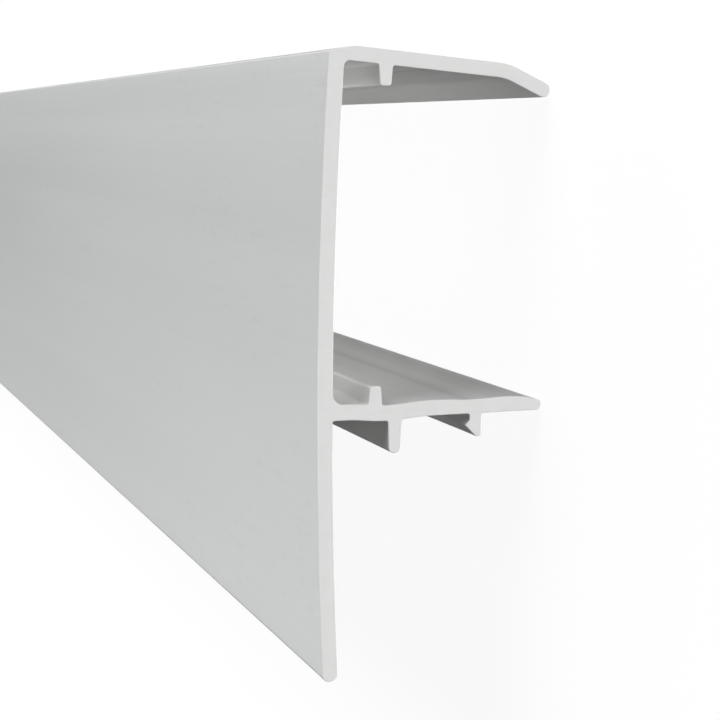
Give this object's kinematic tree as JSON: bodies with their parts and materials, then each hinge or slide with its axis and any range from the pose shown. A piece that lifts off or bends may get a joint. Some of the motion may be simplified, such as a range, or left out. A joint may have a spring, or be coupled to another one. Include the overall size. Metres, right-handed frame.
{
  "type": "f-section trim",
  "caption": "Extruded F-shaped glazing trim: a sheet slides between its two flanges, a face covers the edge, and a skirt hangs below.",
  "frame": {"origin": "centre of the bar's base, on the plane that the edges of its two flanges rest on", "axes": "+Y along the bar away from the end that the picture shows, +Z out of the outer face, +X towards the nose flange, away from the skirt"},
  "size_m": [0.05, 2.1, 0.0195],
  "materials": {
    "white_pvc": "smooth extruded white PVC with a soft sheen, fine marks along the bar and sawn ends"
  },
  "bodies": {
    "root": {"f_section": "white_pvc"}
  },
  "joints": []
}
